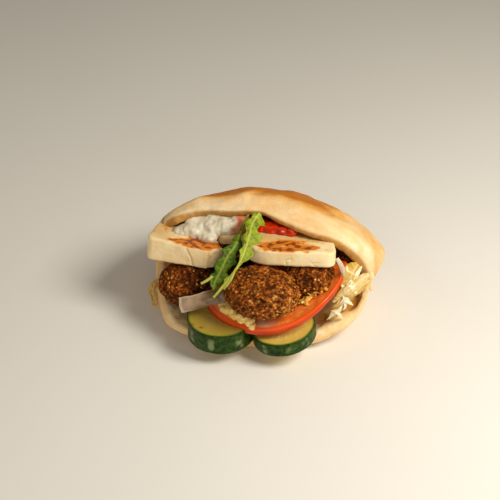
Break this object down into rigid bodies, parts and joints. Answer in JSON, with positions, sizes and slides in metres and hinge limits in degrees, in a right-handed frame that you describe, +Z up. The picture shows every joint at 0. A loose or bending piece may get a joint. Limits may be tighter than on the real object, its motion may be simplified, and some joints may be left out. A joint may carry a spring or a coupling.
{
  "type": "falafel pita half",
  "caption": "Half of a pita bread lying on its base, its open mouth filled with falafel, grilled halloumi, tomato, cucumber, shredded lettuce, rocket and sauces.",
  "frame": {"origin": "on the surface it rests on, under the middle of the overall box", "axes": "+X along the mouth to the right as seen from the front, +Y from the mouth to the closed back, +Z up"},
  "size_m": [0.1408, 0.1188, 0.0722],
  "materials": {
    "bread": "dry baked crust, pale gold with toasted spots",
    "cucumber": "dark green glossy skin, pale moist flesh",
    "tomato": "glossy red skin, moist flesh",
    "falafel": "rough fried crust",
    "halloumi": "satin cheese with browned patches",
    "tzatziki": "moist thick yogurt",
    "chilli_sauce": "wet glossy sauce",
    "hummus": "moist grainy paste",
    "onion": "moist translucent flesh",
    "lettuce": "crisp pale leaf",
    "rocket": "satin green leaf"
  },
  "bodies": {
    "root": {"pita": "bread", "cucumber_left": "cucumber", "cucumber_right": "cucumber", "tomato": "tomato", "falafel_middle": "falafel", "falafel_left": "falafel", "falafel_right": "falafel", "falafel_back": "falafel", "falafel_inner": "falafel", "halloumi_left": "halloumi", "halloumi_right": "halloumi", "halloumi_back": "halloumi", "tzatziki": "tzatziki", "chilli_sauce": "chilli_sauce", "hummus": "hummus", "onion": "onion", "lettuce": "lettuce", "lettuce_left": "lettuce", "lettuce_rib": "lettuce", "rocket_light": "rocket", "rocket_dark": "rocket", "rocket_sprig": "rocket"}
  },
  "joints": []
}
